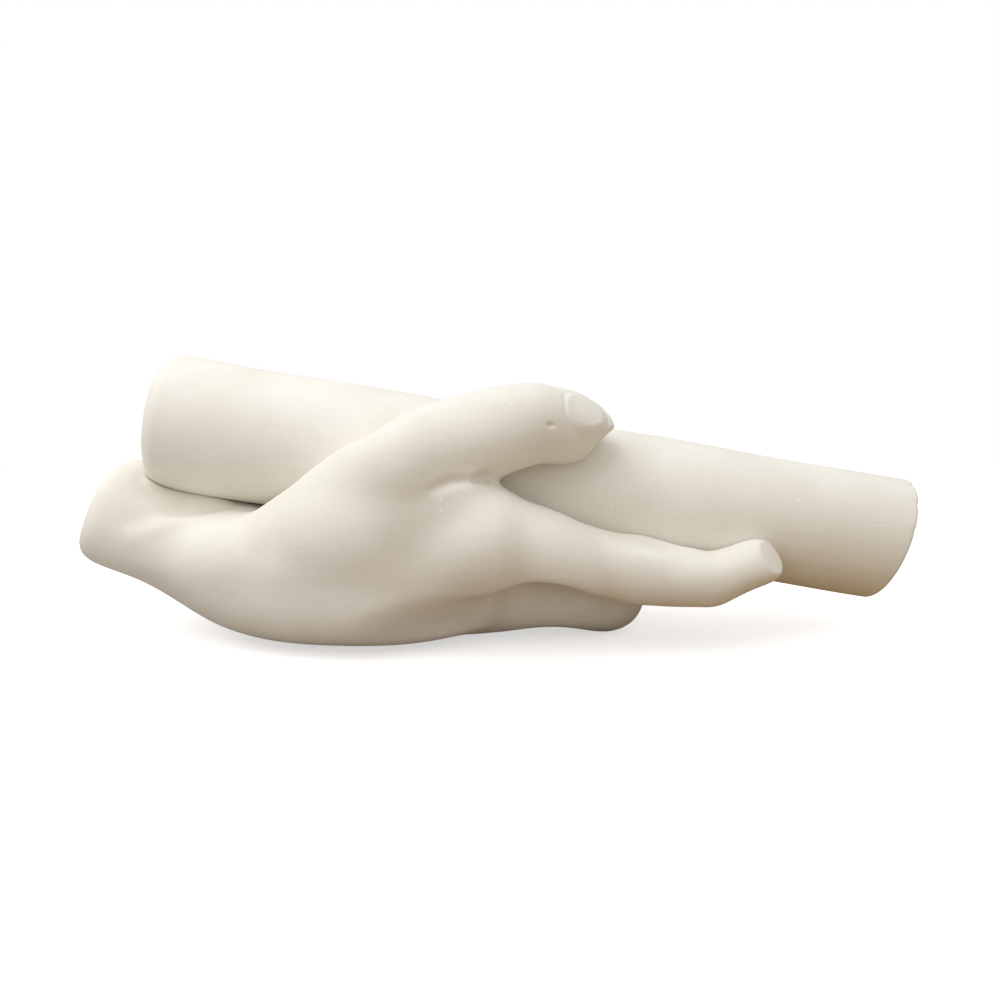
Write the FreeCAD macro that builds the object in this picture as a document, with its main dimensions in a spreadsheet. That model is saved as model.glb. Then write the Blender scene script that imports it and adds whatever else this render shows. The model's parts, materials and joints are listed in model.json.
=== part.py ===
import FreeCAD, Part
import math
import os
import Sketcher

# A right hand in unglazed white ceramic, palm up, that holds a tapered round rod lengthwise.
# Millimetres, +Z up, +X towards the fingertips, +Y away from the thumb side. Z = 0 is the ground
# foot on the back of the hand. The origin is under the middle of the whole piece.
# Each part is formed by itself and luted to its neighbours with slip before firing, so the
# parts meet face to face: a finger's root is scribed to the palm, and its pad to the rod.

doc = FreeCAD.newDocument("HandAndRod")
sheet = doc.addObject("Spreadsheet::Sheet", "Sizes")

# Driving sizes of the rod and of the foot

GENERAL = {
    "rod_length": 195.6,
    "rod_left_diameter": 36.0,
    "rod_right_diameter": 33.2,
    "rod_wall_thickness": 7.5,
    "rod_left_disc_depth": 9.0,
    "rod_right_disc_depth": 12.0,
    "rod_left_rim_radius": 4.5,
    "rod_right_rim_radius": 2.0,
    "rod_vent_diameter": 3.0,
    "rod_left_reach": 90.2,
    "rod_left_offset": -0.4,
    "rod_seat_height": 38.45,
    "rod_fall_angle": 9.2,
    "rod_turn_angle": 1.0,
    "rod_right_slant_angle": 11.0,
    "hand_wall_thickness": 6.5,
    "wrist_rim_radius": 3.8,
    "foot_vent_diameter": 5.0,
    "foot_vent_x": -34.6,
    "foot_vent_y": 0.7,
    "overrun": 20.0,
}

# Stations of the wrist and palm, from the cut end of the wrist to the knuckles. Each has the
# place of its centre, its half breadth and half depth, and the angles that it leans and rolls.
STATIONS = ("wrist_end", "wrist", "wrist_root", "heel", "palm", "grip", "knuckle")
STATION_FIELDS = {
    "x": (-103.1, -88.6, -75.6, -61.6, -40.6, -20.6, -6.6),
    "y": (-4.7, -4.7, -4.3, -3.3, -2.3, -1.3, -0.3),
    "z": (34.4, 27.0, 20.5, 15.2, 13.6, 13.4, 14.0),
    "half_breadth": (23.0, 22.5, 24.0, 28.0, 33.0, 34.0, 28.0),
    "half_depth": (13.2, 13.2, 14.6, 16.4, 15.4, 14.2, 11.0),
    "lean_angle": (25.5, 28.0, 26.0, 10.0, 2.0, -3.0, -6.0),
    "roll_angle": (0.0, 0.0, 0.0, 5.0, 5.0, 3.0, 0.0),
}

# Rays: the thumb, the web beside it and the four fingers. A ray starts at its root inside the
# palm. Each bone has a length, turns away from the thumb side, rises and narrows to a waist, and
# each joint has a diameter, from the root to the tip. The first bone belongs to the palm.
RAYS = {
    "thumb": {
        "root": (-59.6, -19.8, 25.5),
        "length": (46.4, 30.6, 16.4),
        "turn_angle": (-13.0, 14.0, 21.0),
        "rise_angle": (34.0, 14.6, -9.0),
        "waist_share": (0.95, 0.98, 1.03),
        "joint_diameter": (21.0, 23.8, 20.4, 12.4),
    },
    "web": {
        "root": (-48.6, -21.3, 28.0),
        "length": (38.0,),
        "turn_angle": (-13.0,),
        "rise_angle": (21.0,),
        "waist_share": (1.0,),
        "joint_diameter": (20.0, 18.0),
    },
    "index": {
        "root": (-50.6, -17.3, 20.0),
        "length": (48.0, 40.8, 18.5, 11.6),
        "turn_angle": (-14.0, 7.0, -1.0, 3.0),
        "rise_angle": (14.0, -12.5, -8.0, 17.0),
        "waist_share": (1.0, 0.7, 0.96, 1.0),
        "joint_diameter": (24.0, 27.0, 18.4, 14.4, 12.6),
    },
    "middle": {
        "root": (-45.6, -7.3, 15.5),
        "length": (39.0, 36.6, 23.6, 16.7),
        "turn_angle": (-4.0, 7.0, 85.0, 66.0),
        "rise_angle": (-3.0, -6.5, 29.0, 73.0),
        "waist_share": (1.0, 0.9, 0.94, 0.98),
        "joint_diameter": (24.0, 24.4, 21.4, 16.6, 13.4),
    },
    "ring": {
        "root": (-45.6, 2.7, 15.0),
        "length": (31.2, 32.9, 19.0, 13.4),
        "turn_angle": (6.0, 31.2, 55.0, -79.6),
        "rise_angle": (-4.0, 3.0, 71.3, 51.5),
        "waist_share": (1.0, 0.86, 0.96, 0.98),
        "joint_diameter": (23.0, 23.0, 18.6, 15.8, 12.8),
    },
    "little": {
        "root": (-48.6, 10.7, 15.0),
        "length": (26.0, 26.6, 14.4, 15.6),
        "turn_angle": (24.6, 30.6, -18.4, -80.0),
        "rise_angle": (-3.3, 14.4, 77.3, 36.3),
        "waist_share": (1.0, 0.88, 0.96, 0.98),
        "joint_diameter": (22.0, 21.0, 16.6, 14.2, 11.8),
    },
}
RAY_FIELDS = ("length", "turn_angle", "rise_angle", "waist_share", "joint_diameter")
AXES = ("x", "y", "z")


def fill_sheet():
    cells = dict(GENERAL)
    for field, values in STATION_FIELDS.items():
        for station, value in zip(STATIONS, values):
            cells[station + "_" + field] = value
    for ray, fields in RAYS.items():
        for axis, value in zip(AXES, fields["root"]):
            cells[ray + "_root_" + axis] = value
        for field in RAY_FIELDS:
            for place, value in enumerate(fields[field]):
                cells["%s_%s_%d" % (ray, field, place)] = value
    for row, (alias, value) in enumerate(cells.items(), start=1):
        sheet.set("A%d" % row, alias)
        sheet.set("B%d" % row, str(value))
        sheet.setAlias("B%d" % row, alias)
    doc.recompute()


def size(alias):
    return float(sheet.get(alias))


def ray_sizes(ray, field):
    return [size("%s_%s_%d" % (ray, field, place)) for place in range(len(RAYS[ray][field]))]


def point(name):
    return FreeCAD.Vector(*[size("%s_%s" % (name, axis)) for axis in AXES])


fill_sheet()

# Skins
# A skin is a smooth closed wall over a row of oval rings, with a flat face at each end.

RING_POINTS = 12
# The wall runs a little inside the points of a ring, so the points are set out by this much.
RING_SWELL = 3 / (2 + math.cos(2 * math.pi / RING_POINTS))
SKIN_DEGREE = 3
# How far a rounded end has gone, and how wide it still is there, as shares of its radius.
DOME_REACH_SHARES = (0.45, 0.75, 0.93, 1.0)
DOME_WIDTH_SHARES = (0.9, 0.67, 0.38, 0.12)
# An oval has a fullness of 2, and a squarer ring has more.
OVAL_FULLNESS = 2.0
WRIST_FULLNESS = 2.1
PALM_FULLNESS = 2.5


def way(turn, rise):
    turn, rise = math.radians(turn), math.radians(rise)
    return FreeCAD.Vector(math.cos(turn) * math.cos(rise), math.sin(turn) * math.cos(rise), math.sin(rise))


def squared(value, fullness):
    return math.copysign(abs(value) ** (2 / fullness), value)


def ring(centre, along, side, half_breadth, half_depth, fullness=OVAL_FULLNESS):
    along = FreeCAD.Vector(along).normalize()
    depth = along.cross(side).normalize() * half_depth * RING_SWELL
    breadth = depth.cross(along).normalize() * half_breadth * RING_SWELL
    points = []
    for step in range(RING_POINTS):
        angle = 2 * math.pi * step / RING_POINTS
        across, over = squared(math.cos(angle), fullness), squared(math.sin(angle), fullness)
        points.append(centre + breadth * across + depth * over)
    return points


def skin(rings):
    spans = len(rings) - SKIN_DEGREE
    poles = [list(line) for line in zip(*rings)]
    end_turns = SKIN_DEGREE + 1
    surface = Part.BSplineSurface()
    surface.buildFromPolesMultsKnots(
        poles, [1] * (RING_POINTS + 1), [end_turns] + [1] * (spans - 1) + [end_turns],
        list(range(RING_POINTS + 1)), list(range(spans + 1)), True, False, SKIN_DEGREE, SKIN_DEGREE)
    walls = [surface.toShape()]
    for end in (0, spans):
        walls.append(Part.Face(Part.Wire(surface.vIso(end).toShape())))
    shell = Part.makeShell(walls)
    shell.sewShape()
    solid = Part.makeSolid(shell)
    if solid.Volume < 0:
        solid.reverse()
    return solid


def dome(centre, along, side, half_breadth, half_depth, fullness=OVAL_FULLNESS, towards=1):
    rings = []
    for far, wide in zip(DOME_REACH_SHARES, DOME_WIDTH_SHARES):
        place = centre + along * (half_depth * far * towards)
        rings.append(ring(place, along, side, half_breadth * wide, half_depth * wide, fullness))
    return rings[::towards]


# Palm and wrist forms

# The rounding of the wrist's rim: shares of its radius inwards, and of the full width there.
WRIST_RIM_SHARES = ((0.0, 0.86), (0.3, 0.96), (1.0, 1.0))


def palm_stations(stations, inset):
    rows = []
    for station in stations:
        along = way(0, -size(station + "_lean_angle"))
        roll = math.radians(size(station + "_roll_angle"))
        side = FreeCAD.Vector(0, math.cos(roll), -math.sin(roll))
        fullness = WRIST_FULLNESS if station.startswith("wrist") else PALM_FULLNESS
        rows.append((point(station), along, side, size(station + "_half_breadth") - inset,
                     size(station + "_half_depth") - inset, fullness))
    return rows


def palm_core():
    rows = palm_stations(STATIONS, 0)
    centre, along, side, half_breadth, half_depth, fullness = rows[0]
    rings = []
    for reach, width in WRIST_RIM_SHARES:
        place = centre + along * (size("wrist_rim_radius") * reach)
        rings.append(ring(place, along, side, half_breadth * width, half_depth * width, fullness))
    rings += [ring(*row) for row in rows[1:]]
    return skin(rings + dome(*rows[-1]))


# The hollow that is left when the slip is poured off runs from the wrist to the grip.
def palm_cavity():
    rows = palm_stations(STATIONS[1:-1], size("hand_wall_thickness"))
    return skin(dome(*rows[0], towards=-1) + [ring(*row) for row in rows] + dome(*rows[-1]))


# Rays: the bones of the thumb and fingers

# The palm's part of a ray ends in a knuckle a little wider than the finger that comes out of it.
KNUCKLE_SHARE = 1.05
FINGER_ROOT_SHARE = 0.6
BONE_SHARES = (0.0, 0.25, 0.5, 0.75)
# The first rings of a bone still lean along the bone before it, and this fades with distance.
LEAN_FADE_POWER = 4
# A ray that bends less than this counts as straight, and its breadth stays level.
STRAIGHT_RAY_ANGLE = 10
LEVEL_SIDE = FreeCAD.Vector(0, 1, 0)


def ray_joints(ray):
    joints = [point(ray + "_root")]
    ways = [way(turn, rise) for turn, rise in zip(ray_sizes(ray, "turn_angle"), ray_sizes(ray, "rise_angle"))]
    for length, along in zip(ray_sizes(ray, "length"), ways):
        joints.append(joints[-1] + along * length)
    return joints, ways


def ray_side(ways):
    side = ways[0].cross(ways[-1])
    if side.Length < math.sin(math.radians(STRAIGHT_RAY_ANGLE)):
        return LEVEL_SIDE
    return side


def bone_rings(ray, first, last):
    joints, ways = ray_joints(ray)
    side = ray_side(ways)
    radii = [diameter / 2 for diameter in ray_sizes(ray, "joint_diameter")]
    waists = ray_sizes(ray, "waist_share")
    rings = []
    for bone in range(first, last):
        before = ways[bone - 1] if bone > first else ways[bone]
        for share in BONE_SHARES:
            place = joints[bone] * (1 - share) + joints[bone + 1] * share
            along = before * (1 - share) ** LEAN_FADE_POWER + ways[bone]
            radius = radii[bone] * (1 - share) + radii[bone + 1] * share
            radius *= 1 - (1 - waists[bone]) * math.sin(math.pi * share)
            rings.append(ring(place, along, side, radius, radius))
    return rings, joints, ways, side, radii


def palm_ray(ray):
    rings, joints, ways, side, radii = bone_rings(ray, 0, 1)
    wide = radii[1] * KNUCKLE_SHARE
    start = dome(joints[0], ways[0], side, radii[0], radii[0], towards=-1)
    rings.append(ring(joints[1], ways[0], side, wide, wide))
    return skin(start + rings + dome(joints[1], ways[0], side, wide, wide))


def finger_ray(ray):
    last = len(RAYS[ray]["length"])
    rings, joints, ways, side, radii = bone_rings(ray, 1, last)
    root = radii[1] * FINGER_ROOT_SHARE
    start = ring(joints[1] - ways[0] * root, ways[0], side, root, root)
    rings.append(ring(joints[last], ways[last - 1], side, radii[last], radii[last]))
    return skin([start] + rings + dome(joints[last], ways[last - 1], side, radii[last], radii[last]))


def add_form(name, shape):
    item = doc.addObject("Part::Feature", name)
    item.Shape = shape
    item.Placement = FreeCAD.Placement()
    return item


# Rod: a cast tube, closed by a disc at each end

ROD_PLACE = ("placement(vector(-Sizes.rod_left_reach; Sizes.rod_left_offset; "
             "Sizes.rod_seat_height + Sizes.rod_left_diameter / 2); "
             "rotationz(-Sizes.rod_turn_angle) * rotationy(Sizes.rod_fall_angle))")
ROD_TAPER = "(Sizes.rod_left_diameter - Sizes.rod_right_diameter) / 2 / Sizes.rod_length"
LEFT_SEAM = "Sizes.rod_left_disc_depth"
RIGHT_SEAM = "(Sizes.rod_length - Sizes.rod_right_disc_depth)"


def rod_radius(reach):
    return "Sizes.rod_left_diameter / 2 - %s * %s" % (reach, ROD_TAPER)


def plane_of(body, role):
    for plane in body.Origin.OriginFeatures:
        if plane.Role == role:
            return plane


def outline(body, name, corners):
    sketch = body.newObject("Sketcher::SketchObject", name)
    sketch.AttachmentSupport = [(plane_of(body, "XZ_Plane"), "")]
    sketch.MapMode = "FlatFace"
    count = len(corners)
    for place in range(count):
        ahead = (place + 1) % count
        start = FreeCAD.Vector(math.cos(place), math.sin(place), 0)
        end = FreeCAD.Vector(math.cos(ahead), math.sin(ahead), 0)
        sketch.addGeometry(Part.LineSegment(start, end))
    for place in range(count):
        sketch.addConstraint(Sketcher.Constraint("Coincident", place, 2, (place + 1) % count, 1))
    for place, (reach, height) in enumerate(corners):
        for kind, value, axis in (("DistanceX", reach, -2), ("DistanceY", height, -1)):
            if value == "0":
                sketch.addConstraint(Sketcher.Constraint("PointOnObject", place, 1, axis))
            else:
                number = sketch.addConstraint(Sketcher.Constraint(kind, -1, 1, place, 1, 1.0))
                sketch.setExpression("Constraints[%d]" % number, value)
    return sketch


def revolved_body(name, corners):
    body = doc.addObject("PartDesign::Body", name)
    sketch = outline(body, name + "_outline", corners)
    turned = body.newObject("PartDesign::Revolution", name + "_turned")
    turned.Profile = sketch
    turned.ReferenceAxis = (sketch, ["H_Axis"])
    turned.Angle = 360
    sketch.Visibility = False
    body.setExpression("Placement", ROD_PLACE)
    doc.recompute()
    return body


def round_rim(body, end, radius):
    sharp = body.Tip
    limit = end(sharp.Shape.BoundBox)
    at_end = []
    for number, edge in enumerate(sharp.Shape.Edges, start=1):
        if abs(end(edge.BoundBox) - limit) < size(radius):
            at_end.append((edge.Length, "Edge%d" % number))
    rounded = body.newObject("PartDesign::Fillet", body.Name + "_rim")
    rounded.Base = (sharp, [max(at_end)[1]])
    rounded.setExpression("Radius", "Sizes." + radius)


def rod_tube():
    return revolved_body("rod_tube", [
        (LEFT_SEAM, rod_radius(LEFT_SEAM) + " - Sizes.rod_wall_thickness"),
        (RIGHT_SEAM, rod_radius(RIGHT_SEAM) + " - Sizes.rod_wall_thickness"),
        (RIGHT_SEAM, rod_radius(RIGHT_SEAM)),
        (LEFT_SEAM, rod_radius(LEFT_SEAM))])


def rod_left_disc():
    body = revolved_body("rod_left_disc", [
        ("0", "0"), (LEFT_SEAM, "0"), (LEFT_SEAM, rod_radius(LEFT_SEAM)), ("0", rod_radius("0"))])
    round_rim(body, lambda box: box.XMin, "rod_left_rim_radius")
    return body


def rod_right_disc():
    slope = "tan(Sizes.rod_right_slant_angle)"
    over = "(Sizes.rod_length + Sizes.rod_left_diameter * %s)" % slope
    vent = "Sizes.rod_vent_diameter / 2"
    body = revolved_body("rod_right_disc", [
        (RIGHT_SEAM, vent), (over, vent), (over, rod_radius(over)), (RIGHT_SEAM, rod_radius(RIGHT_SEAM))])
    high = "Sizes.rod_left_diameter"
    beyond = "(Sizes.rod_length + 2 * Sizes.rod_left_diameter)"
    sketch = outline(body, "rod_right_slant", [
        ("(Sizes.rod_length - %s * %s)" % (high, slope), "-" + high),
        ("(Sizes.rod_length + %s * %s)" % (high, slope), high),
        (beyond, high), (beyond, "-" + high)])
    slant = body.newObject("PartDesign::Pocket", "rod_right_cut")
    slant.Profile = sketch
    slant.Type = "ThroughAll"
    slant.Midplane = True
    sketch.Visibility = False
    doc.recompute()
    round_rim(body, lambda box: box.XMax, "rod_right_rim_radius")
    return body


# Cutters: what the hand's pieces are shaped to

def rod_core():
    core = doc.addObject("Part::Cone", "rod_core")
    core.setExpression("Radius1", "Sizes.rod_left_diameter / 2")
    core.setExpression("Radius2", "Sizes.rod_right_diameter / 2")
    core.setExpression("Height", "Sizes.rod_length")
    core.setExpression("Placement", ROD_PLACE.replace("fall_angle)", "fall_angle + 90)"))
    return core


def ground():
    block = doc.addObject("Part::Box", "ground")
    block.setExpression("Length", "2 * Sizes.rod_length")
    block.setExpression("Width", "2 * Sizes.rod_length")
    block.setExpression("Height", "Sizes.overrun")
    block.setExpression(
        "Placement", "placement(vector(-Sizes.rod_length; -Sizes.rod_length; -Sizes.overrun); rotationz(0))")
    return block


def foot_vent():
    drill = doc.addObject("Part::Cylinder", "foot_vent")
    drill.setExpression("Radius", "Sizes.foot_vent_diameter / 2")
    drill.setExpression("Height", "Sizes.overrun + Sizes.palm_z")
    drill.setExpression(
        "Placement", "placement(vector(Sizes.foot_vent_x; Sizes.foot_vent_y; -Sizes.overrun); rotationz(0))")
    return drill


def cut_away(label, base, tools):
    for tool in tools:
        cut = doc.addObject("Part::Cut", "%s_less_%s" % (label, tool.Name))
        cut.Base = base
        cut.Tool = tool
        base = cut
    base.Label = label
    return base


# Assembly

core = rod_core()
floor = ground()
vent = foot_vent()
pieces = [rod_tube(), rod_left_disc(), rod_right_disc()]

# The wrist, the palm and its rays are one casting: hollow, flat under the foot, dented by the rod.
blank = doc.addObject("Part::MultiFuse", "palm_blank")
blank.Shapes = [add_form("palm_core", palm_core())] + [add_form(ray + "_bone", palm_ray(ray)) for ray in RAYS]
cavity = add_form("palm_cavity", palm_cavity())
pieces.append(cut_away("palm_and_wrist", blank, [cavity, core, floor, vent]))

# Each digit is scribed to the palm, to the rod and to the finger beside it.
DIGITS = {"thumb": None, "index": None, "middle": "index", "ring": "middle", "little": "ring"}
forms = {}
for ray, neighbour in DIGITS.items():
    forms[ray] = add_form(ray + "_form", finger_ray(ray))
    beside = [forms[neighbour]] if neighbour else []
    label = ray if ray == "thumb" else ray + "_finger"
    pieces.append(cut_away(label, forms[ray], [blank, core, floor] + beside))
doc.recompute()

for item in doc.Objects:
    if "Invalid" in item.State or "Error" in item.State:
        raise RuntimeError("%s failed: %s" % (item.Name, item.State))
os.makedirs("parts", exist_ok=True)
for piece in pieces:
    shape = piece.Shape
    if shape.isNull() or not shape.isValid() or len(shape.Solids) != 1:
        raise RuntimeError("%s isn't one sound solid" % piece.Label)
    shape.exportStep("parts/%s.step" % piece.Label)
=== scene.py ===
import json
import math

import bpy
import numpy as np
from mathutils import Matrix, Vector

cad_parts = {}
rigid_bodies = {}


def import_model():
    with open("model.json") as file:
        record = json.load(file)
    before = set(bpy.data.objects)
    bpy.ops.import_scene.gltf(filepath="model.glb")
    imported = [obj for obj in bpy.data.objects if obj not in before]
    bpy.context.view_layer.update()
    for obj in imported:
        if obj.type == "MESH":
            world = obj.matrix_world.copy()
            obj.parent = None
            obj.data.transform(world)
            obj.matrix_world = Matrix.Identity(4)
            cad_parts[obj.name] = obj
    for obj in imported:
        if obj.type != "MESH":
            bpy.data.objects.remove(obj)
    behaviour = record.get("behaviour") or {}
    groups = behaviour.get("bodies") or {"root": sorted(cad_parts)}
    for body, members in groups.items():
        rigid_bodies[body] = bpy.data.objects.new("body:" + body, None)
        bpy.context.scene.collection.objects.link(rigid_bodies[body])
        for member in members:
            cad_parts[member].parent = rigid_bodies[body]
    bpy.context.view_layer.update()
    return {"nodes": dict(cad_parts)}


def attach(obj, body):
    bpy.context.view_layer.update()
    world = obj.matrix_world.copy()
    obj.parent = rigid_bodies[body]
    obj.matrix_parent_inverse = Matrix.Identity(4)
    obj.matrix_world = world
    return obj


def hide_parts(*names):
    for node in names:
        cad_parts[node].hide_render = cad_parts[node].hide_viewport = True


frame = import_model()

# The hand's block of clay
# A right hand cast in white slip and worked over by hand while leather-hard, so that each form
# runs into the next with no edge. It is shaped here as one block and cut into its pieces below.

HAND = ("palm_and_wrist", "thumb", "index_finger", "middle_finger", "ring_finger", "little_finger")
lumps = []
for node in HAND:
    lump = bpy.data.objects.new(node + "_clay", frame["nodes"][node].data.copy())
    bpy.context.collection.objects.link(lump)
    lump.data.materials.clear()
    lumps.append(lump)

# Filled out: the vent hole, the ball of the thumb, and the hollows between the bones of the palm.
# Each lump of flesh has its centre and radii in mm, and its turns in degrees.
FOOT_VENT = (-34.6, 0.7, 0)
PLUG_RADIUS, PLUG_LENGTH = 4, 12


def mm(*place):
    return Vector(place) / 1000


def take(*pieces):
    bpy.ops.object.select_all(action="DESELECT")
    for piece in pieces:
        piece.select_set(True)
    bpy.context.view_layer.objects.active = pieces[0]
    return pieces[0]


bpy.ops.mesh.primitive_cylinder_add(vertices=24, radius=PLUG_RADIUS / 1000, depth=PLUG_LENGTH / 1000,
                                    location=mm(*FOOT_VENT) + mm(0, 0, PLUG_LENGTH / 2))
lumps.append(bpy.context.object)
FLESH = (
    ((-38, -26.5, 33), (29, 8.5, 14), (0, -27, -12)),
    ((-26, -26, 29), (24, 9.5, 13), (0, -18, -10)),
    ((-40, -20, 17), (30, 14, 14), (0, -6, -8)),
    ((-46, -20, 25), (28, 15, 13), (0, -14, -8)),
    ((-20, -24, 27), (24, 13, 14), (0, -8, -4)),
    ((9, -27.5, 29), (23, 10.5, 10), (0, 24, 5)),
    ((-85, 2, 31.2), (16, 18, 9.2), (0, 3, 0)),
    ((-66, -17, 23), (25, 14, 12), (0, 2, -8)),
    ((-32, -23.5, 35), (29, 16, 17.5), (0, -20, -3)),
    ((4, -8, 12), (26, 9.5, 10), (0, 2, 5)),
)
for centre, radii, turn in FLESH:
    bpy.ops.mesh.primitive_uv_sphere_add(segments=48, ring_count=24, radius=0.001, location=mm(*centre))
    ball = bpy.context.object
    ball.scale = radii
    ball.rotation_euler = [math.radians(angle) for angle in turn]
    take(ball)
    bpy.ops.object.transform_apply(location=True, rotation=True, scale=True)
    lumps.append(ball)
clay = take(*lumps)
bpy.ops.object.join()
clay.name = clay.data.name = "clay"
bpy.ops.object.mode_set(mode="EDIT")
bpy.ops.mesh.select_all(action="SELECT")
bpy.ops.mesh.remove_doubles(threshold=0.000001)
bpy.ops.object.mode_set(mode="OBJECT")


def modify(piece, kind, **settings):
    take(piece)
    modifier = piece.modifiers.new(kind.title(), kind)
    for name, value in settings.items():
        setattr(modifier, name, value)
    bpy.ops.object.modifier_apply(modifier=modifier.name)


VOXEL = 0.00075
modify(clay, "REMESH", mode="VOXEL", voxel_size=VOXEL)

# Smoothed over, most of all on the palm, and swollen by what that takes away.


def read(elements, field, width):
    found = np.empty(len(elements) * width)
    elements.foreach_get(field, found)
    return found.reshape(-1, width) if width > 1 else found


def places(piece):
    return read(piece.data.vertices, "co", 3) * 1000


def put(piece, found):
    piece.data.vertices.foreach_set("co", (found / 1000).ravel())
    piece.data.update()


# One call sets one weight, so the weights are rounded to twentieths.
def weigh(piece, name, weights):
    group = piece.vertex_groups.new(name=name)
    steps = np.round(np.clip(weights, 0, 1) * 20).astype(int)
    for step in range(1, 21):
        group.add(np.flatnonzero(steps == step).tolist(), step / 20, "REPLACE")
    return name


def smooth_step(value, low, high):
    share = np.clip((value - low) / (high - low), 0, 1)
    return share * share * (3 - 2 * share)


spots = places(clay)
x, z = spots[:, 0], spots[:, 2]
palm = smooth_step(-x, -28, -8) * smooth_step(x, -102, -90)
palm *= 1 - smooth_step(z, 45, 52) * smooth_step(x, -20, -6)
weigh(clay, "palm", palm)
modify(clay, "SMOOTH", factor=0.5, iterations=80, vertex_group="palm")
modify(clay, "SMOOTH", factor=0.5, iterations=10)
modify(clay, "DISPLACE", strength=0.0003, mid_level=0)

# Drawn over with a rib on the near side, which fills the hollows between the bones level. The near
# side is read into a grid of 1 mm cells over x and z, each with its nearest y, and the hollows in
# the grid are filled bit by bit to the level of the cells round them.
GRID_LEFT, COLUMNS, ROWS = -110, 180, 80
EMPTY = 99.0
BELL = (1, 3, 6, 7, 6, 3, 1)
spots = places(clay)
facing = read(clay.data.vertices, "normal", 3)[:, 1]
column = np.clip(spots[:, 0] - GRID_LEFT, 0, COLUMNS - 1).astype(int)
row = np.clip(spots[:, 2], 0, ROWS - 1).astype(int)
front = facing < -0.12
nearest = np.full((COLUMNS, ROWS), EMPTY)
np.minimum.at(nearest, (column[front], row[front]), spots[front, 1])
known = nearest < EMPTY
before = np.where(known, nearest, 0)


def spread(field):
    for axis in (0, 1):
        field = sum(np.roll(field, step, axis) * share for step, share in zip(range(-3, 4), BELL)) / sum(BELL)
    return field


inner = spread(known.astype(float)) > 0.999
level = before.copy()
for _ in range(90):
    level = np.where(inner, np.minimum(before, spread(level)), before)
drawn = spread(np.where(inner, level - before, 0))
# The rib goes from the hand's lower edge up to the index finger's upper edge, and not on the thumb.
x, z = spots[:, 0], spots[:, 2]
lower = np.interp(x, (-95, -60, -24, -4, 20), (8, 3, 12, 19, 24))
share = smooth_step(z, lower - 4, lower + 5) * smooth_step(-x, -30, -12) * smooth_step(-facing, 0.05, 0.4)
share *= 1 - smooth_step(z, 47, 52) * smooth_step(x, -20, -8)
share *= smooth_step(before[column, row] - spots[:, 1], -4, -2)
upper = np.interp(x, (-6, -4, 7, 15, 24), (90, 47, 40.5, 37.5, 33))
share *= smooth_step(upper - z, 2, 8)
spots[:, 1] += share * drawn[column, row]
put(clay, spots)
modify(clay, "SMOOTH", factor=0.5, iterations=30, vertex_group="palm")

# Pressed and drawn with the thumb: where, how far round, and which way, all in mm.
PRESSED = (
    ((10, -28, 17), (17, 12, 10), (0, 1, 5)),
    ((33, -25, 32), (14, 9, 8), (0, 0, -2)),
    ((43, -25, 25), (13, 10, 14), (0, 0, -2.2)),
    ((26.5, -18, 52.5), (7, 8, 6), (-1.5, 0.5, 2.4)),
    ((17, -20, 50), (9, 8, 6), (0, 0, -1.3)),
    ((-3.5, -32, 48), (5, 6, 3), (-2.5, 1.5, 0)),
    ((13, -6, 1), (17, 16, 6), (0, 0, 2)),
    ((-10, -36, 7), (30, 16, 13), (0, 7, 1)),
    ((-80, -14, 41), (15, 12, 10), (0, 0, -2.8)),
    ((-85, -22, 16), (26, 20, 12), (0, 0, 1.8)),
    ((55, -24, 27), (9, 9, 5), (0, 0, -1)),
    ((-29, -27, 60), (15, 13, 10), (0, 0, -2.2)),
    ((-46, -26, 50), (14, 12, 9), (-0.2, 0, 0.5)),
    ((-19, -38, 31), (12, 9, 18), (0, 1, 0)),
    ((-100, -13, 42), (14, 26, 11), (0, 0, 2.6)),
    ((20, -14, 68), (9, 12, 9), (0, 0, 1.3)),
    ((3, -14, 71), (11, 12, 9), (0, 0, -0.9)),
    ((29, -16, 62), (6, 10, 8), (0, 0, -0.8)),
    ((63, -27, 17), (13, 11, 9), (0, 0, 1.3)),
)
spots = places(clay)
for centre, radii, way in PRESSED:
    far = np.linalg.norm((spots - centre) / radii, axis=1)
    spots += (np.clip(1 - far ** 2, 0, 1) ** 2)[:, None] * way
put(clay, spots)
modify(clay, "SMOOTH", factor=0.5, iterations=25, vertex_group="palm")

# The index finger's end pared almost flat, as with one stroke of a knife. The flat lies 4.3 mm out
# from the bone's tip.
TIP, KNIFE_WAY, KNIFE_GAP = (63.5, -23.5, 23.6), np.array((0.68, -0.45, 0.58)), 4.3
PARED_SHARE = 0.85
spots = places(clay)
beyond = (spots - TIP) @ KNIFE_WAY - KNIFE_GAP
end = (np.linalg.norm(spots - (66, -25, 25), axis=1) < 10) & (beyond > 0)
spots[end] -= PARED_SHARE * beyond[end, None] * KNIFE_WAY
put(clay, spots)

# Scribed to the rod, which it meets without a gap. The rod loses the taper from its radius towards
# the right, has shrunk a little, and has rounded rims. Its sizes are in mm.
ROD_START = np.array((-90.2, -0.4, 56.45))
ROD_WAY = np.array((0.98699, -0.01723, -0.15988))
ROD_LENGTH, ROD_RADIUS, ROD_TAPER, ROD_SHRINKAGE = 195.6, 18, 1.4, 0.15
LEFT_RIM, RIGHT_RIM = 4.2, 1.1
spots = places(clay)
along = (spots - ROD_START) @ ROD_WAY
foot = ROD_START + np.clip(along, 0, ROD_LENGTH)[:, None] * ROD_WAY
reach = np.linalg.norm(spots - foot, axis=1)
inwards = LEFT_RIM - np.clip(along, 0, LEFT_RIM)
girth = ROD_RADIUS - ROD_TAPER * np.clip(along, 0, ROD_LENGTH) / ROD_LENGTH - ROD_SHRINKAGE - LEFT_RIM
girth += np.sqrt(LEFT_RIM ** 2 - inwards ** 2)
inside = (reach < girth) & (along > 0) & (along < ROD_LENGTH)
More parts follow.
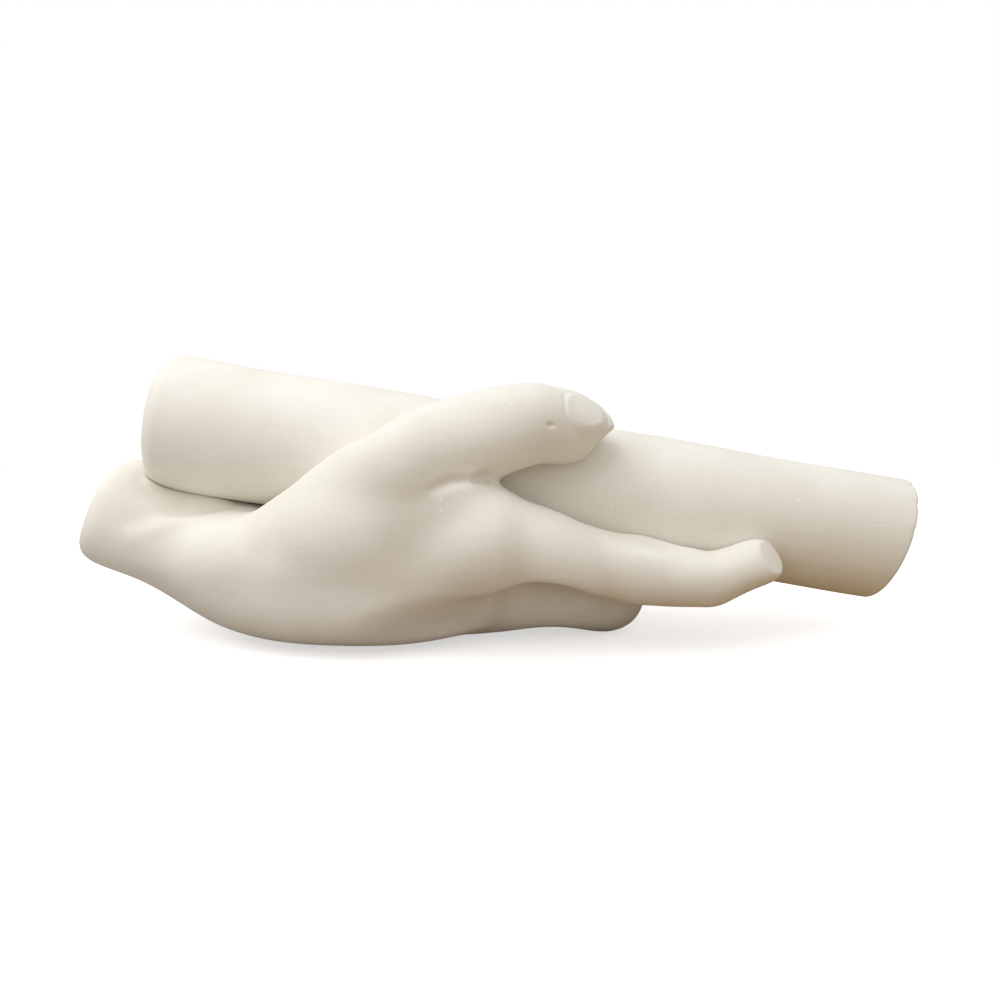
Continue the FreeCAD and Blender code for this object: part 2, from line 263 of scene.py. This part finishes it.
spots[inside] = (foot + (spots - foot) * (girth / reach)[:, None])[inside]
# A fillet of slip closes the narrow gap under the rod, along the wrist.
gap = reach - girth
below = smooth_step(foot[:, 2] - spots[:, 2], 9, 13) * smooth_step(-along, -48, -36)
below *= smooth_step(along, 0, 3)
closer = gap * (1 - smooth_step(gap, 0.6, 4)) * below
filled = (gap > 0) & (closer > 0)
spots[filled] -= ((spots - foot) * (closer / reach)[:, None])[filled]
put(clay, spots)

# The fold of the web between the thumb and the index finger, and the fold over the wrist and the
# ridge beside it, scored with a wooden tool.


# It leaves the piece in edit mode with the chosen faces picked.
def pick_faces(piece, chosen):
    take(piece)
    bpy.ops.object.mode_set(mode="EDIT")
    bpy.ops.mesh.select_mode(type="FACE")
    bpy.ops.mesh.select_all(action="DESELECT")
    bpy.ops.object.mode_set(mode="OBJECT")
    piece.data.polygons.foreach_set("select", chosen)
    bpy.ops.object.mode_set(mode="EDIT")


def refine(piece, chosen):
    pick_faces(piece, chosen)
    bpy.ops.mesh.subdivide(number_cuts=1, smoothness=0)
    bpy.ops.mesh.quads_convert_to_tris()
    bpy.ops.object.mode_set(mode="OBJECT")


# The surface is divided finer round the paths, whose points snap to it, and is then cut along them.
# A depth below zero raises a ridge.
def score(piece, width, depth, *paths):
    spots = places(piece)
    paths = [[spots[np.argmin(np.linalg.norm(spots - point, axis=1))] for point in path] for path in paths]
    ends = np.array([point for path in paths for point in path])
    middle, reach = ends.mean(0), np.linalg.norm(ends - ends.mean(0), axis=1).max()
    centres = read(piece.data.polygons, "center", 3) * 1000
    refine(piece, np.linalg.norm(centres - middle, axis=1) < reach + width)
    spots, ways = places(piece), read(piece.data.vertices, "normal", 3)
    for path in paths:
        nearest, share = np.full(len(spots), 99.0), np.zeros(len(spots))
        for number, (start, end) in enumerate(zip(path, path[1:])):
            way = end - start
            along = np.clip((spots - start) @ way / (way @ way), 0, 1)
            gap = np.linalg.norm(spots - start - along[:, None] * way, axis=1)
            closer = gap < nearest
            nearest = np.where(closer, gap, nearest)
            share = np.where(closer, (number + along) / (len(path) - 1), share)
        deep = np.exp(-(nearest / width) ** 2) * np.sin(np.pi * np.clip(share, 0.06, 0.94)) ** 0.5
        spots = spots - (depth * deep)[:, None] * ways
    put(piece, spots)


score(clay, 1.3, 1.2, ((-16, -38, 46), (-12, -37, 47.6), (-7, -34.5, 47.6), (-3, -31, 47.8)))
score(clay, 2.8, 1, ((-92, -23, 33.5), (-81, -15, 35.5), (-70, -7, 35)))
score(clay, 2.2, -0.45, ((-90, -27.5, 32), (-80.5, -21.5, 34), (-66, -9, 33)))

# Ground flat where it rests. A copy of the whole block is kept, for its shading.
spots = places(clay)
spots[:, 2] = np.maximum(spots[:, 2], 0)
put(clay, spots)
take(clay)
bpy.ops.object.duplicate()
whole = bpy.context.object
take(whole)
bpy.ops.object.shade_smooth()

# The five digits
# Each digit is a form of its own, luted to the hand with slip at its knuckle. It is parted from
# the block at that seam and its cut is closed, so that it stands as a closed piece.

# Each chain runs along a digit's bones, from the wrist outwards: x, y, z and radius.
CHAINS = {
    "thumb": ((-59.6, -19.8, 25.5, 10.5), (-22.1, -28.5, 51.4, 11.9), (6.6, -21.3, 59.2, 10.2),
              (21.7, -15.5, 56.6, 6.2)),
    "web": ((-48.6, -21.3, 28, 10), (-14, -29.3, 41.6, 9)),
    "index_finger": ((-50.6, -17.3, 20, 12), (-5.4, -28.6, 31.6, 13.5), (34.1, -23.7, 22.8, 9.2),
                     (52.4, -24, 20.2, 7.2), (63.5, -23.5, 23.6, 6.3)),
    "middle_finger": ((-45.6, -7.3, 15.5, 12), (-6.7, -10, 13.5, 12.2), (29.3, -5.6, 9.3, 10.7),
                      (31.1, 15, 20.8, 8.3), (33.1, 19.4, 36.7, 6.7)),
    "ring_finger": ((-45.6, 2.7, 15, 11.5), (-14.6, 6, 12.8, 11.5), (13.5, 23, 14.5, 9.3),
                    (17, 28, 32.5, 7.9), (18.5, 19.8, 43, 6.4)),
    "little_finger": ((-48.6, 10.7, 15, 11), (-25, 21.5, 13.5, 10.5), (-2.8, 34.6, 20.1, 8.3),
                      (0.2, 33.6, 34.2, 7.1), (2.4, 21.2, 43.4, 5.9)),
}
# The planes that part a digit from the block: a point, the way towards the digit, and the reach.
SEAMS = {
    "thumb": (((-15, -28, 52), (0.93, 0.02, 0.38), 24), ((-8, -31, 47.3), (0.25, 0.1, 1), 24)),
    "index_finger": (((5, -27.3, 29.3), (0.97, 0.05, -0.2), 21),),
    "middle_finger": (((3, -9, 12.5), (0.99, 0.12, -0.1), 20),),
    "little_finger": (((-18, 25.5, 15.5), (0.83, 0.49, 0.25), 18),),
    "ring_finger": (((-8, 10, 13), (0.85, 0.52, 0.05), 19),),
}


def nearest_chain(spots):
    names, gaps = list(CHAINS), []
    for chain in CHAINS.values():
        nearest = np.full(len(spots), 1e9)
        for start, end in zip(chain, chain[1:]):
            start, end = np.array(start), np.array(end)
            way = (end - start)[:3]
            share = np.clip((spots - start[:3]) @ way / (way @ way), 0, 1)
            girth = start[3] + share * (end[3] - start[3])
            gap = np.linalg.norm(spots - start[:3] - share[:, None] * way, axis=1) - girth
            nearest = np.minimum(nearest, gap)
        gaps.append(nearest)
    return np.array(names)[np.argmin(gaps, axis=0)]


# The open rim is drawn out and brought together in its middle.
def close_cut(piece):
    take(piece)
    bpy.ops.object.mode_set(mode="EDIT")
    bpy.ops.mesh.select_mode(type="EDGE")
    bpy.ops.mesh.select_all(action="DESELECT")
    bpy.ops.mesh.select_non_manifold(extend=False, use_wire=False, use_multi_face=False,
                                     use_non_contiguous=False, use_verts=False)
    bpy.ops.mesh.mark_sharp()
    bpy.ops.mesh.extrude_region()
    bpy.ops.mesh.merge(type="CENTER")
    bpy.ops.mesh.select_all(action="SELECT")
    bpy.ops.mesh.normals_make_consistent(inside=False)
    bpy.ops.object.mode_set(mode="OBJECT")


# The faces beyond the seam that lie nearest to the digit's bones are bounded, picked from the tip
# inwards up to that bound, and parted. Those of the web go with the thumb and the index finger.
def part_off(digit):
    for spot, way, reach in SEAMS[digit]:
        centres = read(clay.data.polygons, "center", 3) * 1000
        pick_faces(clay, np.linalg.norm(centres - spot, axis=1) < reach)
        bpy.ops.mesh.bisect(plane_co=mm(*spot), plane_no=way)
        bpy.ops.object.mode_set(mode="OBJECT")
    centres = read(clay.data.polygons, "center", 3) * 1000
    closest = nearest_chain(centres)
    chosen = closest == digit
    if digit in ("thumb", "index_finger"):
        chosen = np.isin(closest, ("thumb", "web", "index_finger"))
    for spot, way, reach in SEAMS[digit]:
        chosen &= (centres - spot) @ np.array(way) > 0
    pick_faces(clay, chosen)
    bpy.ops.mesh.region_to_loop()
    bpy.ops.mesh.mark_seam()
    bpy.ops.object.mode_set(mode="OBJECT")
    tip = np.argmin(np.linalg.norm(centres - CHAINS[digit][-1][:3], axis=1))
    pick_faces(clay, np.arange(len(centres)) == tip)
    bpy.ops.mesh.select_linked(delimit={"SEAM"})
    bpy.ops.mesh.separate(type="SELECTED")
    bpy.ops.mesh.select_all(action="SELECT")
    bpy.ops.mesh.mark_seam(clear=True)
    bpy.ops.object.mode_set(mode="OBJECT")
    piece = [found for found in bpy.context.selected_objects if found != clay][0]
    piece.name = piece.data.name = digit + "_form"
    close_cut(piece)
    close_cut(clay)
    return piece


pieces = {digit: part_off(digit) for digit in SEAMS}
clay.name = clay.data.name = "palm_and_wrist_form"
pieces["palm_and_wrist"] = clay

# Nails and creases
# Modelled in the leather-hard clay with a wooden tool: a flat nail on the back of each digit's end,
# and wrinkles over the knuckles.

NAIL_CROWN, NAIL_CORNERS, NAIL_LIFT, NAIL_PRESS = 0.35, 2.6, 0.1, 0.75
NAIL_RAISE, NAIL_FOLD, NAIL_STEP = 0.18, 0.14, 0.45


# The nail lies where the line along out through the centre leaves the digit. It is pressed to a
# plate, crowned across, raised a little, with a fold round its root and a step at its tip.
def nail(piece, centre, out, along, length, width):
    out, along = np.array(out, float), np.array(along, float)
    out /= np.linalg.norm(out)
    along -= out * (along @ out)
    along /= np.linalg.norm(along)
    across = np.cross(out, along)
    here = places(piece) - centre
    level = here @ out
    beside = np.linalg.norm(here - level[:, None] * out, axis=1)
    centre = np.array(centre) + level[(beside < 1.5) & (abs(level) < 8)].max() * out
    centres = read(piece.data.polygons, "center", 3) * 1000
    refine(piece, np.linalg.norm(centres - centre, axis=1) < length)
    spots, ways = places(piece), read(piece.data.vertices, "normal", 3)
    here = spots - centre
    ahead, aside = here @ along / length * 2, here @ across / width * 2
    edge = (abs(ahead) ** NAIL_CORNERS + abs(aside) ** NAIL_CORNERS) ** (1 / NAIL_CORNERS)
    outer = smooth_step(ways @ out, 0.1, 0.5) * (abs(here @ out) < 6)
    plate = here @ out + NAIL_CROWN * aside ** 2 * width / 4 - NAIL_LIFT
    flat = smooth_step(-edge, -1, -0.55) * outer
    spots -= (NAIL_PRESS * flat * np.clip(plate, -1.2, 2))[:, None] * out
    fold = np.exp(-((edge - 1.02) / 0.09) ** 2) * smooth_step(-ahead, -0.9, -0.4) * outer
    tip = np.exp(-((edge - 1.1) / 0.1) ** 2) * smooth_step(ahead, 0.3, 0.8) * outer
    raised = NAIL_RAISE * smooth_step(-edge, -1, -0.84) * outer
    spots += (raised - NAIL_FOLD * fold - NAIL_STEP * tip)[:, None] * out
    put(piece, spots)


nail(pieces["thumb"], (20.2, -22.2, 61.2), (0.5, -0.6, 0.62), (0.9, 0.33, -0.3), 13.5, 11.5)
nail(pieces["index_finger"], (61.5, -20, 17), (0.2, 0.5, -0.84), (0.95, 0.05, 0.29), 8, 7)
nail(pieces["middle_finger"], (33, 25.2, 34.5), (0.1, 0.96, -0.27), (0.12, 0.27, 0.96), 10, 8.5)
nail(pieces["ring_finger"], (18.6, 25.8, 45.2), (0.05, 0.78, 0.61), (0.11, -0.61, 0.78), 9.5, 8)
nail(pieces["little_finger"], (2.5, 25.6, 47.2), (0, 0.6, 0.8), (0.14, -0.79, 0.59), 8.5, 7)

# A small pit in the thumb, and three wrinkles over the bent joint of each curled finger.
score(pieces["thumb"], 0.55, 0.8, ((10.6, -30, 59.9), (11.8, -29.6, 59.7)))
for digit, x, y, z in (("middle_finger", 31.5, 23.5, 21), ("ring_finger", 17, 36, 32),
                       ("little_finger", 0.4, 41, 33.5)):
    score(pieces[digit], 0.5, 0.3, *[[(x + side, y, z + rise + 0.06 * rise * side ** 2)
                                      for side in (-4, -2, 0, 2, 4)] for rise in (-1.8, 0, 1.7)])

# The foot's vent
# A closed hollow form needs a hole for its air in the kiln. The hand's is a round hole of 5 mm,
# bored through its foot while the clay is leather-hard.


def bore(piece, place, way, radius):
    bpy.ops.mesh.primitive_cylinder_add(vertices=32, radius=radius / 1000, depth=0.012, location=mm(*place),
                                        rotation=Vector(way).to_track_quat("Z", "Y").to_euler())
    bit = bpy.context.object
    modify(piece, "BOOLEAN", object=bit, operation="DIFFERENCE", solver="EXACT")
    bpy.data.objects.remove(bit)


bore(pieces["palm_and_wrist"], FOOT_VENT, (0, 0, 1), 2.5)

# White bisque slip
# Casting slip fired once and left unglazed: a dry cream white, with fine grain, faint streaks where
# it was sponged, and a few bright specks and pinholes.


def srgb(text):
    parts = [int(text[place:place + 2], 16) / 255 for place in (1, 3, 5)]
    return [part / 12.92 if part < 0.04045 else ((part + 0.055) / 1.055) ** 2.4 for part in parts] + [1]


def add(tree, kind, sockets=(), **settings):
    made = tree.nodes.new("ShaderNode" + kind)
    for name, value in settings.items():
        setattr(made, name, value)
    for name, value in dict(sockets).items():
        if isinstance(value, bpy.types.NodeSocket):
            tree.links.new(value, made.inputs[name])
        else:
            made.inputs[name].default_value = value
    return made


CREAM, PALE_CREAM, SPECK_WHITE = "#EAE5DA", "#F3EFE6", "#FFFFFF"
# The grain, the streaks and the blotches are so many mm across, and the bumps so many mm high.
GRAIN, STREAK, BLOTCH, BUMP = 0.5, 1, 25, 0.06
# Counted to the metre: the streaks end to end, and the cells that hold a speck or a pinhole.
STREAKS, SPECK_CELLS, PINHOLE_CELLS = 33, 360, 170
bisque = bpy.data.materials.new("white_bisque_slip")
bisque.use_nodes = True
tree = bisque.node_tree
tree.nodes.clear()
spot = add(tree, "TexCoord").outputs["Object"]
# Grain, streaks 30 mm long that follow the rod's slope, and blotches.
grain = add(tree, "TexNoise", {"Vector": spot, "Scale": 1000 / GRAIN, "Detail": 2}).outputs["Fac"]
drawn = add(tree, "Mapping", {"Vector": spot, "Rotation": (0, math.radians(9), 0),
                              "Scale": (STREAKS, 1000 / STREAK, 1000 / STREAK)})
streaks = add(tree, "TexNoise", {"Vector": drawn.outputs["Vector"], "Scale": 1, "Detail": 2}).outputs["Fac"]
blotches = add(tree, "TexNoise", {"Vector": spot, "Scale": 1000 / BLOTCH, "Detail": 3}).outputs["Fac"]
# Specks and pinholes up to 0.7 mm across: about one speck to the square centimetre, and a third as
# many pinholes.
cells = add(tree, "TexVoronoi", {"Vector": spot, "Scale": SPECK_CELLS})
chance = add(tree, "SeparateColor", {"Color": cells.outputs["Color"]})
size = add(tree, "MapRange", {"Value": chance.outputs["Red"], "From Min": 0.3, "To Max": 0.13})
found = add(tree, "Math", {0: cells.outputs["Distance"], 1: size.outputs["Result"]}, operation="LESS_THAN")
specks = add(tree, "Math", {0: found.outputs[0], 1: chance.outputs["Green"]}, operation="MULTIPLY")
pits = add(tree, "TexVoronoi", {"Vector": spot, "Scale": PINHOLE_CELLS})
holes = add(tree, "MapRange", {"Value": pits.outputs["Distance"], "From Min": 0.02, "From Max": 0.06})
tone = add(tree, "ValToRGB", {"Fac": blotches})
tone.color_ramp.elements[0].position, tone.color_ramp.elements[0].color = 0.35, srgb(CREAM)
tone.color_ramp.elements[1].position, tone.color_ramp.elements[1].color = 0.65, srgb(PALE_CREAM)
faint = add(tree, "Mix", {0: 0.06, 6: tone.outputs["Color"], 7: streaks}, data_type="RGBA",
            blend_type="OVERLAY")
bright = add(tree, "Mix", {0: specks.outputs[0], 6: faint.outputs[2], 7: srgb(SPECK_WHITE)}, data_type="RGBA")
raised = add(tree, "Math", {0: streaks, 1: 1.6, 2: grain}, operation="MULTIPLY_ADD")
height = add(tree, "Math", {0: raised.outputs[0], 1: holes.outputs["Result"]}, operation="ADD")
bump = add(tree, "Bump", {"Height": height.outputs[0], "Strength": 0.5, "Distance": BUMP / 1000})
clayey = add(tree, "BsdfPrincipled", {"Base Color": bright.outputs[2], "Roughness": 0.72,
                                      "Specular IOR Level": 0.35, "Normal": bump.outputs["Normal"]})
add(tree, "OutputMaterial", {"Surface": clayey.outputs["BSDF"]})


def fire(piece):
    piece.data.materials.clear()
    piece.data.materials.append(bisque)
    take(piece)
    bpy.ops.object.shade_smooth_by_angle(angle=math.radians(40))


# The hand's pieces. Beside each seam they take their shading from the whole block, so that the
# seams don't show, as they were smoothed over with slip. They do so up to 1.5 mm from the seam's
# plane, and up to 8 mm past its reach.
SHADED_BESIDE, SHADED_BEYOND = 1.5, 8
for node, piece in pieces.items():
    fire(piece)
    spots, near = places(piece), np.zeros(len(piece.data.vertices))
    for seams in SEAMS.values():
        for spot, way, reach in seams:
            apart = abs((spots - spot) @ (np.array(way) / np.linalg.norm(way)))
            within = np.linalg.norm(spots - spot, axis=1) < reach + SHADED_BEYOND
            near = np.maximum(near, (apart < SHADED_BESIDE) & within)
    modify(piece, "DATA_TRANSFER", object=whole, use_loop_data=True, data_types_loops={"CUSTOM_NORMAL"},
           loop_mapping="POLYINTERP_NEAREST", vertex_group=weigh(piece, "seam", near))
    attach(piece, "root")
    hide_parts(node)
bpy.data.objects.remove(whole)

# The rod
# A slip-cast tube, a little tapered and not quite true, closed by a disc at each end. Its left rim
# is sponged round, its right end is cut a little aslant, and the three are luted into one rod.

SLANT = math.tan(math.radians(9))
END_TRIM = 0.2
# The seams of the two discs, in mm from the rod's left end.
LEFT_SEAM, RIGHT_SEAM = 9, 183.6
# It is formed upright at the origin, with x pointing down and z along the rod, and then laid in place.
# The blank is longer than the rod, and its right end is cut off aslant.
BLANK = 0.22
bpy.ops.mesh.primitive_cylinder_add(vertices=144, radius=ROD_RADIUS / 1000, depth=BLANK,
                                    location=(0, 0, BLANK / 2))
rod = bpy.context.object
bpy.ops.object.transform_apply(location=True, rotation=True, scale=True)
bpy.ops.object.mode_set(mode="EDIT")
bpy.ops.mesh.select_all(action="SELECT")
bpy.ops.mesh.bisect(plane_co=(0, 0, (ROD_LENGTH - END_TRIM) / 1000), plane_no=(SLANT, 0, 1),
                    clear_outer=True, use_fill=True)
bpy.ops.object.mode_set(mode="OBJECT")
local = places(rod)
local[:, :2] *= (ROD_RADIUS - ROD_TAPER * local[:, 2:] / ROD_LENGTH) / ROD_RADIUS
put(rod, local)
# The large face at each end is picked by its area in square metres, and the rim round it rounded.
LARGE_FACE = 0.0005
for end, radius in ((0, LEFT_RIM), (ROD_LENGTH, RIGHT_RIM)):
    centres = read(rod.data.polygons, "center", 3) * 1000
    pick_faces(rod, (read(rod.data.polygons, "area", 1) > LARGE_FACE) & (abs(centres[:, 2] - end) < 5))
    bpy.ops.mesh.region_to_loop()
    bpy.ops.mesh.bevel(offset=radius / 1000, segments=8, affect="EDGES")
    bpy.ops.object.mode_set(mode="OBJECT")
# The long edges between the rims are divided, so that the side can be uneven.
bpy.ops.object.mode_set(mode="EDIT")
bpy.ops.mesh.select_mode(type="EDGE")
bpy.ops.mesh.select_all(action="DESELECT")
bpy.ops.object.mode_set(mode="OBJECT")
for edge in rod.data.edges:
    ends = [rod.data.vertices[index].co for index in edge.vertices]
    edge.select = (ends[0] - ends[1]).length > 0.1
bpy.ops.object.mode_set(mode="EDIT")
bpy.ops.mesh.subdivide(number_cuts=150)
bpy.ops.object.mode_set(mode="OBJECT")
# Not quite true along its length, with a waist near the right end.
local = places(rod)
along, turn = local[:, 2], np.arctan2(local[:, 1], local[:, 0])
uneven = -ROD_SHRINKAGE + 0.12 * np.sin(along / 13 + turn) + 0.08 * np.sin(along / 7 + 2 * turn + 1)
uneven -= 0.35 * np.exp(-((along - 165) / 28) ** 2)
local[:, :2] *= (1 + uneven / ROD_RADIUS)[:, None]
# Chips in the right rim: how far down and sideways, how wide and how deep, in mm.
CHIPS = ((-15.6, -3.5, 2.2, 0.35), (-12, -10.5, 1.8, 0.3), (-6, -15.2, 1.5, 0.2))
for down_way, side_way, wide, deep in CHIPS:
    rim = ROD_LENGTH - SLANT * down_way
    far = np.linalg.norm(local - (down_way, side_way, rim), axis=1) / wide
    local -= (np.clip(1 - far ** 2, 0, 1) ** 1.5)[:, None] * np.array((down_way, side_way, 14)) / 20 * deep
# Laid in the hand, and parted into the tube and its two discs.
down = np.array((ROD_WAY[2], 0, -ROD_WAY[0]))
down = down / np.linalg.norm(down)
side = np.cross(ROD_WAY, down)
put(rod, ROD_START + local[:, :1] * down + local[:, 1:2] * side + local[:, 2:] * ROD_WAY)
rod.name = rod.data.name = "rod_form"
rod_pieces = {}
for node, low, high in (("rod_left_disc", None, LEFT_SEAM), ("rod_tube", LEFT_SEAM, RIGHT_SEAM),
                        ("rod_right_disc", RIGHT_SEAM, None)):
    take(rod)
    bpy.ops.object.duplicate()
    piece = bpy.context.object
    bpy.ops.object.transform_apply(location=True, rotation=True, scale=True)
    for limit, cleared in ((low, "clear_inner"), (high, "clear_outer")):
        if limit is not None:
            bpy.ops.object.mode_set(mode="EDIT")
            bpy.ops.mesh.select_all(action="SELECT")
            bpy.ops.mesh.bisect(plane_co=(ROD_START + limit * ROD_WAY) / 1000, plane_no=ROD_WAY,
                                use_fill=True, **{cleared: True})
            bpy.ops.object.mode_set(mode="OBJECT")
    piece.name = piece.data.name = node + "_form"
    rod_pieces[node] = piece
bpy.data.objects.remove(rod)
# The tube's air leaves through the right disc.
bore(rod_pieces["rod_right_disc"], ROD_START + ROD_LENGTH * ROD_WAY, ROD_WAY, 1.5)
for node, piece in rod_pieces.items():
    fire(piece)
    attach(piece, "root")
    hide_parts(node)

# Camera
# It stands in front of the hand, 275 mm off, and looks 13 degrees down at it through a slightly
# wide lens, as in the photo.
CAMERA_PLACE, LOOK_DOWN = mm(-0.6, -275.15, 98.26), math.radians(13)
camera_data = bpy.data.cameras.new("camera")
camera_data.lens = 37.8
camera_data.sensor_width = 36
camera_data.clip_start = 0.01
camera = bpy.data.objects.new("camera", camera_data)
camera.location = CAMERA_PLACE
camera.rotation_euler = (math.radians(90) - LOOK_DOWN, 0, 0)
bpy.context.collection.objects.link(camera)
bpy.context.scene.camera = camera

# Light and floor
# A window's soft light from the upper left, and a table that throws its colour back up onto the
# undersides, warmer on the right. To the camera the table and the room are plain white, but for
# the object's shadow.
LEFT_BOUNCE, RIGHT_BOUNCE = "#B2ABA5", "#AA9068"
bpy.ops.mesh.primitive_plane_add(size=6, location=(0, 0, 0))
floor = bpy.context.object
floor.name = "floor"
table = bpy.data.materials.new("table_top")
table.use_nodes = True
tree = table.node_tree
tree.nodes.clear()
seen = add(tree, "LightPath").outputs["Is Camera Ray"]
shaded = add(tree, "BsdfDiffuse", {"Color": srgb("#FFFFFF")})
lit = add(tree, "Emission", {"Color": srgb("#FFFFFF"), "Strength": 0.55})
near = add(tree, "AddShader", {0: shaded.outputs[0], 1: lit.outputs[0]})
# The table's tone fades into plain white between 180 and 320 mm from the middle.
far = add(tree, "VectorMath", {0: add(tree, "TexCoord").outputs["Object"]}, operation="LENGTH")
share = add(tree, "MapRange", {"Value": far.outputs["Value"], "From Min": 0.18, "From Max": 0.32})
white = add(tree, "Emission", {"Color": srgb("#FFFFFF"), "Strength": 1})
shown = add(tree, "MixShader", {0: share.outputs["Result"], 1: near.outputs[0], 2: white.outputs[0]})
aside = add(tree, "SeparateXYZ", {0: add(tree, "TexCoord").outputs["Object"]}).outputs["X"]
blend = add(tree, "MapRange", {"Value": aside, "From Min": -0.1, "From Max": 0.08})
thrown = add(tree, "Mix", {0: blend.outputs["Result"], 6: srgb(LEFT_BOUNCE), 7: srgb(RIGHT_BOUNCE)},
             data_type="RGBA")
warm = add(tree, "BsdfDiffuse", {"Color": thrown.outputs[2]})
both = add(tree, "MixShader", {0: seen, 1: warm.outputs[0], 2: shown.outputs[0]})
add(tree, "OutputMaterial", {"Surface": both.outputs[0]})
floor.data.materials.append(table)

# The window, and a white room that is brighter overhead than below.
pane = bpy.data.lights.new("window", "AREA")
pane.energy = 1.4
pane.size = 0.45
window = bpy.data.objects.new("window", pane)
window.location = (-0.26, -0.17, 0.48)
window.rotation_euler = (Vector((0, 0, 0.04)) - window.location).to_track_quat("-Z", "Y").to_euler()
bpy.context.collection.objects.link(window)
room = bpy.data.worlds.new("room")
bpy.context.scene.world = room
room.use_nodes = True
tree = room.node_tree
tree.nodes.clear()
seen = add(tree, "LightPath").outputs["Is Camera Ray"]
height = add(tree, "SeparateXYZ", {0: add(tree, "TexCoord").outputs["Generated"]}).outputs["Z"]
overhead = add(tree, "MapRange", {"Value": height, "From Min": -0.1, "To Min": 0.41, "To Max": 0.95})
strength = add(tree, "Mix", {0: seen, 2: overhead.outputs["Result"], 3: 1.0})
sky = add(tree, "Background", {"Color": srgb("#FFFFFF"), "Strength": strength.outputs[0]})
add(tree, "OutputWorld", {"Surface": sky.outputs[0]})
bpy.context.scene.view_settings.view_transform = "Standard"
